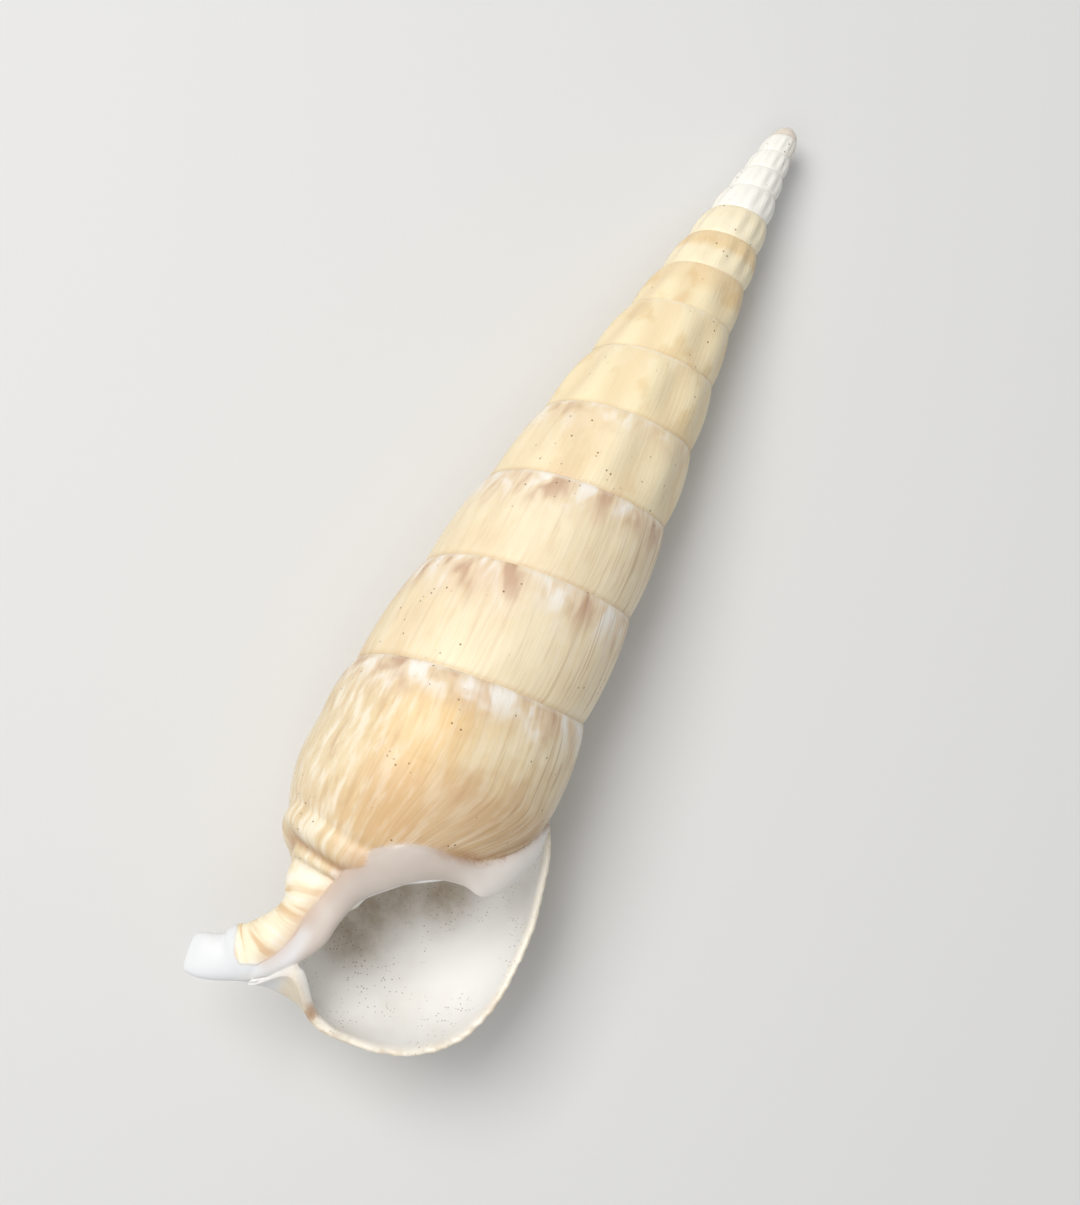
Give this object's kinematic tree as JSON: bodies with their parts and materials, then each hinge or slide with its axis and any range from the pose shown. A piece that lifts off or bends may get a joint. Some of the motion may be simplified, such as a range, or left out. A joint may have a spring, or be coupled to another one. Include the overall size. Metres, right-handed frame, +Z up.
{
  "type": "noble vertagus shell",
  "caption": "Tall turreted spiral sea shell that lies on its back, with a flared oval mouth, a smooth callus and a short bent canal.",
  "frame": {"origin": "centre of the bounding box in plan, at the level of the surface the shell rests on", "axes": "+Y along the shell towards the apex, +Z up from the worn back to the open mouth, +X to the side of the outer lip"},
  "size_m": [0.0374, 0.1368, 0.0321],
  "materials": {
    "shell": "satin, cream and tan outside, smooth white in the mouth"
  },
  "bodies": {
    "root": {"shell": "shell"}
  },
  "joints": []
}
